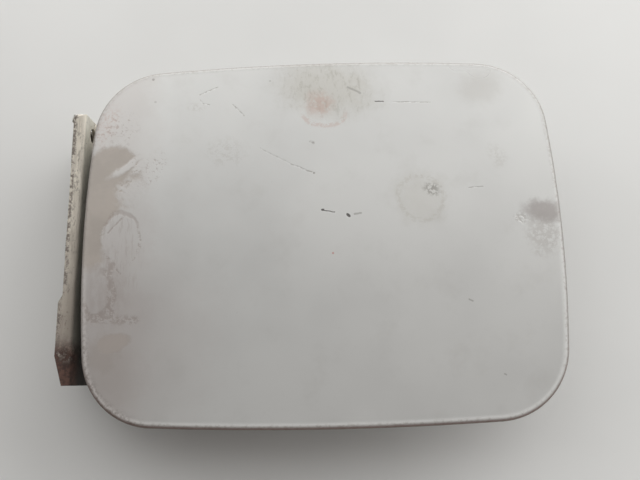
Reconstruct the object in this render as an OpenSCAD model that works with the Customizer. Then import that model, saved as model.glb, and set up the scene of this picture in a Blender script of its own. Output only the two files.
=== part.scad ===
// Car fuel door with its hinge, lying with the painted face up.
// Frame: millimetres, +Z up out of the painted face, +X from the hinge to the latch side.
// The origin is on the seat of the body bracket, midway between its two screw holes.

/* [Door] */
// Width of the door from hinge edge to latch edge, at mid height
door_w = 200; // [180:1:220]
// Height of the door, at mid width
door_h = 155.5; // [144:0.5:172]
// How far the hinge and latch edges bow outward
side_bow = 5.2; // [3:0.1:8]
// How far the two long edges bow outward
long_bow = 3.4; // [2:0.1:6]
// Radius of the four corners
corner_r = 30.2; // [24:0.1:36]
// Rise of the painted face from the side edges to the middle
crown_x = 2.6; // [1:0.1:4]
// Rise of the painted face from the long edges to the middle
crown_y = 2; // [0.5:0.1:4]
// Thickness of the outer sheet
skin_t = 0.8; // [0.6:0.1:1]
// Outer radius of the rolled edge
roll_r = 2; // [1.6:0.1:2.4]
// Width of the hem folded back under the door
hem_w = 8; // [6:0.5:10]

/* [Inner panel] */
// Thickness of the inner sheet
panel_t = 0.7; // [0.5:0.1:0.9]
// Gap on each side of the inner sheet where the hem grips it
hem_gap = 0.05; // [0.03:0.01:0.1]
// Depth from the hinge edge of the skin down to the underside of the stiffening channel
panel_drop = 9; // [8.5:0.1:11]
// Width of the flat rim before the channel starts to drop
rim_w = 10.4; // [10.2:0.1:12]
// Run of each sloping channel wall
slope_w = 4.6; // [3:0.1:5]
// Width of the flat floor of the channel
floor_w = 21; // [20.5:0.5:23]
// Bend radius of the inner sheet
panel_bend = 1.6; // [1.2:0.1:2]
// Gap between skin and middle field, filled by mastic
field_gap = 1.8; // [1.4:0.1:2.4]
// Diameter of the paint drain holes in the middle field
drain_d = 12; // [8:0.5:16]
// Diameter of the mastic dots
mastic_d = 14; // [8:1:18]

/* [Hinge arm] */
// Length of the arm along the hinge edge
arm_len = 118; // [112:1:122]
// Thickness of the arm sheet
arm_t = 1.4; // [1.2:0.1:1.6]
// Gap between the door's edge and the tall wall of the arm
wall_gap = 3.3; // [3:0.1:4]
// Width of the turned-out flange on top of the tall wall
flange_w = 6.7; // [6:0.1:7]
// How much narrower the flange is along its far part
flange_relief = 1.7; // [0.5:0.1:2.2]
// Distance from the near end of the arm to where the flange gets narrower
relief_start = 34; // [26:1:50]
// Height of the flange top below the skin's hinge edge
flange_drop = 4; // [3.6:0.1:4.4]
// Depth of the neck below the skin's hinge edge
neck_drop = 21.5; // [20:0.1:23]
// Clear width inside the neck
neck_w = 16.6; // [16:0.1:17.4]
// Inner bend radius of the arm sheet
arm_bend = 1.5; // [1:0.1:2]
// Inner bend radius between flange and tall wall
flange_bend = 0.2; // [0.1:0.1:1]
// Width of the pad that is bolted under the inner panel
pad_w = 21; // [19:0.5:22]
// Diameter of the locating hole in the tall wall
wall_hole_d = 7; // [5:0.5:8]
// Distance of the locating hole from the far end of the arm
wall_hole_end = 7; // [6:0.5:9]
// Length of the chamfer on the near end of the flange
chamfer_len = 12; // [8:0.5:14]
// Depth of the chamfer on the near end of the flange
chamfer_in = 3.5; // [2:0.1:4]
// Length of the window in the floor of the neck
window_len = 50; // [40:1:56]
// Spacing of the two arm bolts
bolt_pitch = 70; // [60:1:76]

/* [Pivot] */
// Diameter of the hinge pin
pin_d = 4; // [3.6:0.1:4.2]
// Distance of the pin outside the door's hinge edge
pivot_out = 8; // [7.8:0.1:8.4]
// Depth of the pin below the skin's hinge edge
pivot_drop = 10.5; // [10:0.1:11]
// Wall of the rolled eyes of the bracket
eye_wall = 1; // [0.9:0.05:1.1]
// Running clearance between pin and bushes, on the radius
bush_clear = 0.05; // [0.03:0.01:0.08]
// Wall of the bushes
bush_wall = 0.7; // [0.6:0.05:0.8]
// Thickness of the bush flange
bush_flange_t = 0.8; // [0.6:0.1:1]
// Wall of the arm's ears around the bushes
ear_wall = 0.8; // [0.7:0.05:0.9]
// Side play between bush flange and bracket eye
end_play = 0.3; // [0.2:0.05:0.5]
// Thickness of the thrust washer at the far eye
washer_t = 0.6; // [0.4:0.1:0.8]
// Wire diameter of the torsion spring
wire_d = 0.9; // [0.7:0.05:0.95]
// Number of coils
coil_n = 7; // [5:1:10]
// Length of the spring's moving leg
leg_len = 9; // [7:0.5:10]

/* [Body bracket] */
// Thickness of the bracket sheet
bracket_t = 1.8; // [1.6:0.1:2]
// Height of the pin above the bracket's seat
pivot_h = 21.5; // [20:0.1:24]
// Distance from the pin to the line of the screw holes
screw_reach = 9; // [8.8:0.1:11]
// Spacing of the two screw holes
screw_pitch = 70; // [60:1:74]
// Diameter of the screw holes
screw_d = 7; // [6.5:0.1:8]
// Width of the foot beyond the line of the screw holes
foot_out = 9; // [8:0.5:11]
// Length of each rolled eye
eye_len = 18; // [14:1:20]
// Thickness of the cheeks that stiffen the ends of the bracket
cheek_t = 1.5; // [1:0.1:1.8]

/* [Latch side] */
// Thickness of the striker plate
striker_t = 2; // [1.6:0.1:2.4]
// Width of the striker tongue
striker_w = 20; // [18:1:24]
// Length of the striker's base
striker_base = 44; // [42:1:50]
// Diameter of the latch hole in the tongue
latch_d = 9; // [8:0.5:10]
// Height of the latch hole above the tip of the tongue
latch_up = 8.5; // [8:0.5:10]
// Spacing of the striker rivets
rivet_pitch = 32; // [30:1:36]
// Diameter of the rivet shanks
rivet_d = 4.8; // [4:0.1:5]
// Distance of each rubber bumper from the middle line
bumper_y = 46; // [42:1:47]
// Diameter of the rubber bumpers
bumper_d = 12; // [10:0.5:13]
// Height of the rubber bumpers
bumper_h = 6; // [4:0.5:8]

/* [Hidden] */
$fn = 48;

pivot_x = -screw_reach;
edge_x = pivot_x + pivot_out;
edge_z = pivot_h + pivot_drop;
mid_x = edge_x + door_w / 2;
half_w = door_w / 2;
half_h = door_h / 2;
hem_h = 2 * skin_t + panel_t + 2 * hem_gap;
fold_in = 1.1 * skin_t;
floor_z = edge_z - panel_drop;
floor_in = rim_w + slope_w;
floor_end = floor_in + floor_w;
floor_mid_x = edge_x + floor_in + floor_w / 2;
latch_floor_x = edge_x + door_w - floor_in - floor_w / 2;

// Outline of the door, made of four long arcs and four corner arcs

side_arc_r = (half_h * half_h + side_bow * side_bow) / (2 * side_bow);
long_arc_r = (half_w * half_w + long_bow * long_bow) / (2 * long_bow);
side_arc_x = half_w - side_arc_r;
long_arc_y = half_h - long_arc_r;
corner_min_r = half_h / 13;
corner_steps = 10;
side_steps = 5;
long_steps = 6;

function corner_radius(inset) = max(corner_r - inset, corner_min_r);

// Centre of the corner arc that touches the side arc and the long arc from inside
function corner_centre(inset) =
    let (rc = corner_radius(inset))
    let (ra = side_arc_r - inset - rc)
    let (rb = long_arc_r - inset - rc)
    let (span = norm([side_arc_x, long_arc_y]))
    let (along = (ra * ra - rb * rb + span * span) / (2 * span))
    let (across = sqrt(ra * ra - along * along))
    let (u = [-side_arc_x, long_arc_y] / span)
    [side_arc_x + along * u[0] - across * u[1], along * u[1] + across * u[0]];

function arc_points(centre, r, a0, a1, steps) =
    [for (i = [0:steps - 1]) centre + r * [cos(a0 + (a1 - a0) * i / steps), sin(a0 + (a1 - a0) * i / steps)]];

// One quarter of the outline, from the middle of the latch edge to the middle of the far edge
function quarter(inset) =
    let (c = corner_centre(inset))
    let (a0 = atan2(c[1], c[0] - side_arc_x))
    let (a1 = atan2(c[1] - long_arc_y, c[0]))
    concat(
        arc_points([side_arc_x, 0], side_arc_r - inset, 0, a0, side_steps),
        arc_points(c, corner_radius(inset), a0, a1, corner_steps),
        arc_points([0, long_arc_y], long_arc_r - inset, a1, 90, long_steps));

function reversed(list) = [for (i = [len(list) - 1:-1:0]) list[i]];

function outline(inset) =
    let (q = quarter(inset))
    let (last = len(q) - 1)
    let (top = [0, half_h - inset])
    let (back = [for (i = [last:-1:1]) [-q[i][0], q[i][1]]])
    concat(q, [top], back,
        [for (i = [0:last]) [-q[i][0], -q[i][1]]],
        [-top],
        [for (i = [last:-1:1]) [q[i][0], -q[i][1]]]);

// Height of the painted face over the mid-point of its hinge edge
function crown(p) = crown_x * (1 - pow(p[0] / half_w, 2)) - crown_y * pow(p[1] / half_h, 2);

// A ring of points: follows the crown when level is 1, lies flat when level is 0
function ring(inset, dz, level) = [for (p = outline(inset)) [p[0], p[1], level * crown(p) + dz]];

// Closed sheet through a list of rings, capped in the middle by two points
module ring_loft(rings, first_z, last_z) {
    count = len(rings[0]);
    total = len(rings);
    centre_a = total * count;
    points = concat([for (r = rings) each r], [[0, 0, first_z], [0, 0, last_z]]);
    sides = [for (k = [0:total - 2], j = [0:count - 1], half = [0, 1])
        let (n = (j + 1) % count)
        let (a = k * count)
        let (b = a + count)
        half == 0 ? [a + j, a + n, b + n] : [a + j, b + n, b + j]];
    first_cap = [for (j = [0:count - 1]) [centre_a, (j + 1) % count, j]];
    last = (total - 1) * count;
    last_cap = [for (j = [0:count - 1]) [centre_a + 1, last + j, last + (j + 1) % count]];
    translate([mid_x, 0, edge_z])
        polyhedron(points, concat(sides, first_cap, last_cap), convexity = 6);
}

// Insets of the rings that carry the crown across the middle of the sheet
field_insets = [for (k = [0.9, 0.68, 0.46, 0.26, 0.12]) k * half_h];

module outer_skin() {
    top = [for (d = field_insets) ring(d, 0, 1)];
    roll = [for (a = [0:22.5:90]) ring(roll_r * (1 - sin(a)), roll_r * (cos(a) - 1), 1)];
    foot = [for (a = [0:45:90]) ring(skin_t * (1 - cos(a)), skin_t * (1 - sin(a)) - hem_h, 1)];
    slot = [
        ring(hem_w, -hem_h, 1),
        ring(hem_w, skin_t - hem_h, 1),
        ring(fold_in, skin_t - hem_h, 1),
        ring(fold_in, -skin_t, 1)];
    under = [for (d = reversed(field_insets)) ring(d, -skin_t, 1)];
    color([0.80, 0.80, 0.79])
        ring_loft(concat(top, roll, foot, slot, under), crown_x, crown_x - skin_t);
}

// Inner panel: rim in the hem, a channel all round, and a raised field in the middle

field_z = -skin_t - field_gap;
rim_z = -skin_t - hem_gap;
floor_top = panel_t - panel_drop;

// Insets of the field that lie inside the channel
inner_insets = [for (k = [0.9, 0.7]) k * half_h];

// Rings of one face of the panel, from the rim to the field, at a depth below its top face
function panel_face(down, side) = [
    ring(floor_end + slope_w + side + panel_bend, field_z - down, 1),
    ring(floor_end + slope_w + side - panel_bend / 2, field_z - down - panel_bend / 3, 1),
    ring(floor_end + side + panel_bend / 2, floor_top - down + panel_bend / 3, 0),
    ring(floor_end + side - panel_bend, floor_top - down, 0),
    ring(floor_in - side + panel_bend, floor_top - down, 0),
    ring(floor_in - side - panel_bend / 2, floor_top - down + panel_bend / 3, 0),
    ring(rim_w - side + panel_bend / 2, rim_z - down - panel_bend / 3, 1),
    ring(rim_w - side - panel_bend, rim_z - down, 1),
    ring(fold_in + hem_gap, rim_z - down, 1)];

module panel_holes() {
    cut_z = floor_z - 1;
    for (s = [-1, 1]) {
        translate([floor_mid_x, s * bolt_pitch / 2, cut_z])
            cylinder(h = panel_t + 2, d = bolt_hole_d);
        translate([latch_floor_x, s * rivet_pitch / 2, cut_z])
            cylinder(h = panel_t + 2, d = rivet_d + 2 * rivet_clear);
        translate([latch_floor_x, s * bumper_y, cut_z])
            cylinder(h = panel_t + 2, d = stem_d + 2 * stem_clear);
        translate([mid_x + s * drain_x, 0, edge_z - panel_drop])
            cylinder(h = panel_drop - skin_t, d = drain_d);
    }
}

drain_x = 28;
bead_y = 13;
bead_len = 64;
bead_r = 3.2;
bead_sink = 0.1;
bead_sides = 24;
bead_z = edge_z + crown([bead_len / 2 + bead_r, bead_y]) + field_z - bead_sink;

// Pair of long beads pressed down into the middle field, grown or shrunk by an amount
module panel_beads(grow) {
    r = bead_r + grow;
    for (s = [-1, 1])
        translate([mid_x, s * bead_y, bead_z]) {
            rotate([0, 90, 0])
                cylinder(h = bead_len, r = r, center = true, $fn = bead_sides);
            for (e = [-1, 1])
                translate([e * bead_len / 2, 0, 0])
                    sphere(r = r, $fn = bead_sides);
        }
}

// Keeps only what lies below the upper face of the field
module below_field() {
    intersection() {
        children();
        translate([mid_x, 0, bead_z - bead_r])
            cube([2 * bead_len, 4 * bead_y, 2 * bead_r], center = true);
    }
}

module inner_panel() {
    upper = panel_face(0, 0);
    lower = reversed(panel_face(panel_t, panel_t / 2));
    field_up = [for (d = inner_insets) ring(d, field_z, 1)];
    field_down = [for (d = reversed(inner_insets)) ring(d, field_z - panel_t, 1)];
    middle = crown_x + field_z;
    color([0.74, 0.74, 0.72])
        difference() {
            union() {
                ring_loft(concat(field_up, upper, lower, field_down), middle, middle - panel_t);
                below_field()
                    panel_beads(0);
            }
            panel_beads(-panel_t);
            panel_holes();
        }
}

mastic_x = 42;
mastic_y = 23;
mastic_slack = 0.3;

module flutter_mastic() {
    color([0.20, 0.20, 0.21])
        for (sx = [-1, 1], sy = [-1, 1])
            translate([mid_x + sx * mastic_x, sy * mastic_y,
                edge_z + crown([mastic_x, mastic_y]) + field_z + mastic_slack])
                cylinder(h = field_gap - 2 * mastic_slack, d = mastic_d);
}

// Bolts that hold the arm to the inner panel, and their weld nuts

bolt_d = 6;
bolt_hole_d = 6.8;
nut_h = 4.6;
nut_across = 11;
bolt_flange_d = 13;
bolt_flange_t = 1.2;
bolt_head_h = 4.2;
bolt_head_across = 10;
bolt_tip = 1.2;

module at_bolts() {
    for (s = [-1, 1])
        translate([floor_mid_x, s * bolt_pitch / 2, floor_z])
            children();
}

module weld_nuts() {
    color([0.60, 0.59, 0.55])
        at_bolts()
            translate([0, 0, panel_t])
                difference() {
                    linear_extrude(nut_h)
                        square(nut_across, center = true);
                    translate([0, 0, -1])
                        cylinder(h = nut_h + 2, d = bolt_d);
                }
}

module arm_bolts() {
    head_z = -arm_t - bolt_flange_t;
    color([0.62, 0.60, 0.52])
        at_bolts() {
            translate([0, 0, -arm_t])
                cylinder(h = arm_t + panel_t + nut_h + bolt_tip, d = bolt_d);
            translate([0, 0, head_z])
                cylinder(h = bolt_flange_t, d = bolt_flange_d);
            translate([0, 0, head_z - bolt_head_h])
                linear_extrude(bolt_head_h)
                    circle(d = bolt_head_across / cos(30), $fn = 6);
        }
}

// Hinge arm: one folded sheet, with a flange, a tall wall, a neck and a pad

wall_x = edge_x - wall_gap;
neck_x = wall_x + neck_w;
flange_z = edge_z - flange_drop;
neck_z = edge_z - neck_drop;
pad_end_x = floor_mid_x + pad_w / 2;
ear_r = pin_d / 2 + bush_clear + bush_wall + ear_wall;
arm_half = arm_len / 2;
bend_steps = 6;

// Points of a rounded corner on the middle line of the sheet
function bend(centre, r, a0, a1) =
    arc_points(centre, r, a0, a1 + (a1 - a0) / bend_steps, bend_steps + 1);

// Middle line of the sheet from the flange tip to the end of the pad
function arm_line() =
    let (r = arm_bend + arm_t / 2)
    let (tight = flange_bend + arm_t / 2)
    let (top = flange_z - arm_t / 2)
    let (wall = wall_x - arm_t / 2)
    let (low = neck_z + arm_t / 2)
    let (inner = neck_x + arm_t / 2)
    let (pad = floor_z - arm_t / 2)
    concat(
        [[wall_x - flange_w, top]],
        bend([wall - tight, top - tight], tight, 90, 0),
        bend([wall + r, low + r], r, 180, 270),
        bend([inner - r, low + r], r, 270, 360),
        bend([inner + r, pad - r], r, 180, 90),
        [[pad_end_x, pad]]);

// Direction of a line at one of its points
function heading(line, i) =
    let (a = line[max(i - 1, 0)])
    let (b = line[min(i + 1, len(line) - 1)])
    (b - a) / norm(b - a);

function shifted(line, d) =
    [for (i = [0:len(line) - 1]) let (h = heading(line, i)) line[i] + d * [-h[1], h[0]]];

// Lays a shape drawn in X and Z along Y, centred on the middle line of the door
module along_y(length) {
    rotate([90, 0, 0])
        linear_extrude(length, center = true)
            children();
}

module y_rod(length, d) {
    rotate([90, 0, 0])
        cylinder(h = length, d = d, center = true);
}

// Slot with round ends along Y
module slot_cut(width, length, depth) {
    linear_extrude(depth, center = true) {
        square([width, length - width], center = true);
        for (s = [-1, 1])
            translate([0, s * (length - width) / 2])
                circle(d = width);
    }
}

module arm_sheet() {
    line = arm_line();
    along_y(arm_len)
        polygon(concat(shifted(line, arm_t / 2), reversed(shifted(line, -arm_t / 2))));
}

// Outer faces of the two ears that hold the pin: one ends the arm, the other stands at the chamfer
far_face = arm_half;
near_face = chamfer_len - arm_half;

// Ear under the flange that holds a bush
module arm_ear() {
    along_y(arm_t) {
        translate([pivot_x, pivot_h])
            circle(r = ear_r);
        polygon([
            [wall_x - flange_w + flange_relief, flange_z - arm_t / 2],
            [wall_x - arm_t / 2, flange_z - arm_t / 2 - flange_bend],
            [wall_x - arm_t / 2, pivot_h - ear_r - 3],
            [pivot_x, pivot_h - ear_r],
            [pivot_x - ear_r, pivot_h]]);
    }
}

// Cuts along the free edge of the flange: chamfer at the near end, narrower part, rounded far corner
module flange_cuts() {
    tip = wall_x - flange_w;
    narrow = tip + flange_relief;
    step_y = relief_start - arm_half;
    translate([0, 0, flange_z - arm_t - 1])
        linear_extrude(arm_t + 2) {
            polygon([
                [tip - 1, -arm_half - 1],
                [tip + chamfer_in, -arm_half - 1],
                [tip + chamfer_in, -arm_half],
                [tip, chamfer_len - arm_half],
                [tip - 1, chamfer_len - arm_half]]);
            polygon([
                [tip - 1, step_y],
                [tip, step_y],
                [narrow, step_y + relief_ramp],
                [narrow, arm_half + 1],
                [tip - 1, arm_half + 1]]);
            difference() {
                translate([narrow - 1, arm_half - flange_round])
                    square(flange_round + 1);
                translate([narrow + flange_round, arm_half - flange_round])
                    circle(r = flange_round);
            }
        }
}

relief_ramp = 3;
end_round = 1.4;

// Rounds the far end of the flange, where the ear is folded down
module far_end_round() {
    long = 4 * flange_w;
    translate([wall_x, arm_half - end_round, flange_z - end_round])
        rotate([90, 0, 90])
            linear_extrude(long, center = true)
                difference() {
                    square(2 * end_round);
                    circle(r = end_round);
                }
}

flange_round = 2.4;
window_in = 2.2;
pad_round = 8;
relief_len = 10;

module pad_corners() {
    for (s = [-1, 1])
        translate([pad_end_x, s * arm_half, floor_z - arm_t - 1])
            mirror([0, s > 0 ? 0 : 1, 0])
                linear_extrude(arm_t + 2)
                    difference() {
                        translate([-pad_round, -pad_round])
                            square(pad_round + 1);
                        translate([-pad_round, -pad_round])
                            circle(r = pad_round);
                    }
}

module hinge_arm() {
    window_w = neck_w - 2 * arm_bend - 2 * window_in;
    color([0.78, 0.75, 0.70])
        difference() {
            union() {
                arm_sheet();
                for (y = [near_face + arm_t / 2, far_face - arm_t / 2])
                    translate([0, y, 0])
                        arm_ear();
            }
            translate([pivot_x, 0, pivot_h])
                y_rod(arm_len + 2, pin_d + 2 * bush_clear + 2 * bush_wall);
            far_end_round();
            translate([wall_x, arm_half - wall_hole_end, edge_z - wall_hole_drop])
                rotate([0, 90, 0])
                    cylinder(h = 3 * arm_t, d = wall_hole_d, center = true);
            translate([wall_x + neck_w / 2, 0, neck_z])
                slot_cut(window_w, window_len, 3 * arm_t);
            translate([pad_end_x, 0, floor_z])
                cube([2 * relief_len, bolt_pitch - 2 * bolt_flange_d, 4 * arm_t], center = true);
            at_bolts()
                cylinder(h = 4 * arm_t, d = bolt_hole_d, center = true);
            flange_cuts();
            pad_corners();
        }
}

wall_hole_drop = flange_drop + 10;

// Pivot parts

// Bush in an ear: its flange lies on the inner side of the ear, whose outer face is at y
module bush(y, s) {
    inner_d = pin_d + 2 * bush_clear;
    color([0.88, 0.87, 0.82])
        translate([pivot_x, y, pivot_h])
            difference() {
                union() {
                    translate([0, -s * arm_t / 2, 0])
                        y_rod(arm_t, inner_d + 2 * bush_wall);
                    translate([0, -s * (arm_t + bush_flange_t / 2), 0])
                        y_rod(bush_flange_t, 2 * eye_r);
                }
                y_rod(4 * arm_t + 2 * bush_flange_t, inner_d);
            }
}

module bush_far() {
    bush(far_face, 1);
}

module bush_near() {
    bush(near_face, -1);
}

// Washer on the pin between the far eye and the flange of the far bush
module thrust_washer() {
    color([0.70, 0.69, 0.66])
        translate([pivot_x, bracket_far + washer_t / 2, pivot_h])
            difference() {
                y_rod(washer_t, 2 * eye_r);
                y_rod(washer_t + 1, pin_d + 2 * washer_clear);
            }
}

washer_clear = 0.1;

eye_r = pin_d / 2 + eye_wall;
head_gap = 0.2;
head_t = 1.2;
head_d = 6.4;
clip_t = 0.8;
clip_d = 6;
groove_depth = 0.5;
clip_grip = 0.3;
pin_tail = 1.4;

module hinge_pin() {
    far_end = far_face + head_gap;
    near_end = near_face - head_gap - clip_t - pin_tail;
    color([0.66, 0.64, 0.60])
        translate([pivot_x, 0, pivot_h])
            difference() {
                union() {
                    translate([0, (far_end + near_end) / 2, 0])
                        y_rod(far_end - near_end, pin_d);
                    translate([0, far_end + head_t / 2, 0])
                        y_rod(head_t, head_d);
                }
                translate([0, near_face - head_gap - clip_t / 2, 0])
                    difference() {
                        y_rod(clip_t, pin_d + 2);
                        y_rod(clip_t + 1, pin_d - 2 * groove_depth);
                    }
            }
}

module pin_clip() {
    mouth = pin_d - 2 * groove_depth;
    color([0.45, 0.43, 0.40])
        translate([pivot_x, near_face - head_gap - clip_t / 2, pivot_h])
            difference() {
                y_rod(clip_t, clip_d);
                y_rod(clip_t + 1, mouth);
                translate([0, 0, -clip_d / 2])
                    cube([mouth - 2 * clip_grip, clip_t + 1, clip_d], center = true);
            }
}

// Body bracket: two rolled eyes, an upright web and a foot with the screw holes

bracket_far = far_face - arm_t - bush_flange_t - end_play - washer_t;
bracket_near = near_face + arm_t + bush_flange_t + end_play;
bracket_len = bracket_far - bracket_near;
bracket_mid = (bracket_far + bracket_near) / 2;
web_x = pivot_x - eye_r;
foot_x = foot_out;
bracket_bend = 3;
foot_round = 6;
coil_room = 1;
coil_gap = 0.22;
coil_pitch = wire_d + coil_gap;
coil_len = coil_n * coil_pitch;
slot_w = wire_d + 0.5;
cheek_x = 2;
cheek_z = 16.5;
cheek_foot = 3.3;
cheek_gap = 1;
curl_gap = 0.35;
web_slot_len = 18;
web_slot_w = 6;
web_slot_z = 8.6;
web_slot_y = 22;

module bracket_profile() {
    outer = bracket_bend + bracket_t;
    difference() {
        union() {
            translate([web_x, 0])
                square([bracket_t, pivot_h]);
            translate([web_x, 0])
                square([foot_x - web_x, bracket_t]);
            translate([web_x, 0])
                square(outer);
        }
        translate([web_x + outer, outer])
            circle(r = bracket_bend);
        translate([web_x + bracket_t, outer])
            square([bracket_bend + 1, bracket_bend]);
        translate([web_x + outer, bracket_t])
            square([bracket_bend, bracket_bend + 1]);
        difference() {
            translate([web_x - 1, -1])
                square(outer + 1);
            translate([web_x + outer, outer])
                circle(r = outer);
        }
    }
}

module foot_corners() {
    for (s = [-1, 1])
        translate([foot_x, bracket_mid + s * bracket_len / 2, -1])
            mirror([0, s > 0 ? 0 : 1, 0])
                linear_extrude(bracket_t + 2)
                    difference() {
                        translate([-foot_round, -foot_round])
                            square(foot_round + 1);
                        translate([-foot_round, -foot_round])
                            circle(r = foot_round);
                    }
}

// Cheek that joins web and foot at one end of the bracket and stays clear of the arm
module cheek() {
    inner = web_x + bracket_t / 2;
    near_wall = wall_x - arm_t - cheek_gap;
    along_y(cheek_t)
        polygon([
            [inner, bracket_t / 2],
            [cheek_x, bracket_t / 2],
            [cheek_x, cheek_foot],
            [near_wall, neck_z - cheek_gap],
            [near_wall, cheek_z - cheek_gap],
            [near_wall - cheek_gap, cheek_z],
            [inner, cheek_z]]);
}

module body_bracket() {
    eye_at = bracket_len / 2 - eye_len / 2;
    room = coil_len + 2 * coil_room;
    color([0.70, 0.68, 0.64])
        difference() {
            union() {
                translate([0, bracket_mid, 0])
                    along_y(bracket_len)
                        bracket_profile();
                for (s = [-1, 1]) {
                    translate([pivot_x, bracket_mid + s * eye_at, pivot_h])
                        y_rod(eye_len, 2 * eye_r);
                    translate([0, bracket_mid + s * (bracket_len - cheek_t) / 2, 0])
                        cheek();
                }
            }
            translate([pivot_x, bracket_mid, pivot_h])
                y_rod(bracket_len + 2, pin_d);
            translate([web_x + bracket_t / 2, bracket_mid, pivot_h + eye_r])
                cube([3 * bracket_t, bracket_len - 2 * eye_len, 2 * eye_r + 2 * web_drop], center = true);
            translate([web_x + bracket_t / 2, 0, pivot_h])
                cube([3 * bracket_t, room, 2 * (eye_r + coil_room)], center = true);
            translate([web_x + bracket_t / 2, fixed_leg_y, pivot_h - leg_len / 2 - slot_w / 2])
                cube([3 * bracket_t, slot_w, leg_len + slot_w], center = true);
            translate([web_x + bracket_t, bracket_mid - bracket_len / 2 - 1, pivot_h - eye_r - 1])
                cube([curl_gap, bracket_len + 2, eye_r]);
            for (s = [-1, 1]) {
                translate([0, s * screw_pitch / 2, -1])
                    cylinder(h = bracket_t + 2, d = screw_d);
                translate([web_x + bracket_t / 2, s * web_slot_y, web_slot_z])
                    rotate([0, 90, 0])
                        slot_cut(web_slot_w, web_slot_len, 2 * bracket_t);
            }
            foot_corners();
        }
}

web_drop = 0.6;

// Torsion spring: a coil round the pin with two straight legs that point down

spring_clear = 0.15;
coil_r = pin_d / 2 + spring_clear + wire_d / 2;
turn_steps = 20;
wire_sides = 8;
turns = coil_n + 0.5;
fixed_leg_y = -coil_len / 2;

// Points along the wire: [angle round the pin, distance along the pin, drop of a leg]
function wire_path() =
    let (n = turn_steps * turns)
    concat(
        [[180, -coil_len / 2, leg_len]],
        [for (i = [0:n]) [180 - 360 * i / turn_steps, coil_len * (i / n - 0.5), 0]],
        [[180 - 360 * turns, coil_len / 2, leg_len]]);

function wire_ring(p) =
    [for (k = [0:wire_sides - 1])
        let (a = 360 * k / wire_sides)
        let (r = coil_r + wire_d / 2 * cos(a))
        [r * cos(p[0]), p[1] + wire_d / 2 * sin(a), r * sin(p[0]) - p[2]]];

module torsion_spring() {
    path = wire_path();
    last = (len(path) - 1) * wire_sides;
    points = [for (p = path) each wire_ring(p)];
    sides = [for (i = [0:len(path) - 2], k = [0:wire_sides - 1])
        let (n = (k + 1) % wire_sides)
        let (a = i * wire_sides)
        [a + n, a + wire_sides + n, a + wire_sides + k, a + k]];
    caps = [
        [for (k = [wire_sides - 1:-1:0]) k],
        [for (k = [0:wire_sides - 1]) last + k]];
    color([0.35, 0.34, 0.33])
        translate([pivot_x, 0, pivot_h])
            polyhedron(points, concat(sides, caps), convexity = 10);
}

// Latch side: striker, its rivets and the rubber bumpers

rivet_clear = 0.1;
rivet_head_d = 9;
rivet_head_t = 1.4;
stem_d = 6;
stem_clear = 0.1;
striker_bend = 2;
tongue_x = latch_floor_x + 5;
tip_round = 5;
base_round = 4;

module striker_profile() {
    outer = striker_bend + striker_t;
    left = latch_floor_x - floor_w / 2 + 1.5;
    difference() {
        union() {
            translate([left, floor_z - striker_t])
                square([tongue_x - left, striker_t]);
            translate([tongue_x - striker_t, 0])
                square([striker_t, floor_z]);
            translate([tongue_x - outer, floor_z - outer])
                square(outer);
        }
        translate([tongue_x - outer, floor_z - outer])
            circle(r = striker_bend);
        translate([tongue_x - outer - striker_bend, floor_z - outer])
            square([striker_bend, striker_bend]);
        translate([tongue_x - outer, floor_z - outer - striker_bend])
            square([striker_bend, striker_bend]);
        difference() {
            translate([tongue_x - outer, floor_z - outer])
                square(outer + 1);
            translate([tongue_x - outer, floor_z - outer])
                circle(r = outer);
        }
    }
}

// Outline of the striker seen from the side: wide base, narrower tongue with rounded tip
module striker_outline() {
    translate([-striker_base / 2, floor_z - striker_t])
        square([striker_base, striker_t + 1]);
    translate([-striker_w / 2, tip_round])
        square([striker_w, floor_z - tip_round]);
    translate([-striker_w / 2 + tip_round, 0])
        square([striker_w - 2 * tip_round, tip_round + 1]);
    for (s = [-1, 1])
        translate([s * (striker_w / 2 - tip_round), tip_round])
            circle(r = tip_round);
}

module striker() {
    left = latch_floor_x - floor_w / 2 + 1.5;
    color([0.62, 0.61, 0.58])
        difference() {
            intersection() {
                along_y(striker_base)
                    striker_profile();
                translate([left - 1, 0, 0])
                    rotate([90, 0, 90])
                        linear_extrude(floor_w + 2)
                            striker_outline();
            }
            translate([tongue_x, 0, latch_up])
                rotate([0, 90, 0])
                    cylinder(h = 4 * striker_t, d = latch_d, center = true);
            for (s = [-1, 1])
                translate([latch_floor_x, s * rivet_pitch / 2, floor_z - striker_t])
                    cylinder(h = 3 * striker_t, d = rivet_d + 2 * rivet_clear, center = true);
        }
}

module striker_rivets() {
    color([0.66, 0.66, 0.64])
        for (s = [-1, 1])
            translate([latch_floor_x, s * rivet_pitch / 2, floor_z]) {
                translate([0, 0, -striker_t])
                    cylinder(h = striker_t + panel_t, d = rivet_d);
                translate([0, 0, panel_t])
                    cylinder(h = rivet_head_t, d = rivet_d + 2);
                translate([0, 0, -striker_t - rivet_head_t])
                    cylinder(h = rivet_head_t, d1 = rivet_head_d * 0.7, d2 = rivet_head_d);
            }
}

module bumper(s) {
    stem_top = 2.4;
    color([0.12, 0.12, 0.12])
        translate([latch_floor_x, s * bumper_y, floor_z])
            rotate_extrude()
                polygon([
                    [0, -bumper_h],
                    [bumper_d * 0.32, -bumper_h],
                    [bumper_d * 0.42, 0.6 - bumper_h],
                    [bumper_d / 2, -1],
                    [bumper_d / 2, 0],
                    [stem_d / 2, 0],
                    [stem_d / 2, panel_t],
                    [stem_d / 2 + 1, panel_t],
                    [stem_d / 2 - 0.6, panel_t + stem_top],
                    [0, panel_t + stem_top]]);
}

module bumper_far() {
    bumper(1);
}

module bumper_near() {
    bumper(-1);
}

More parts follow.
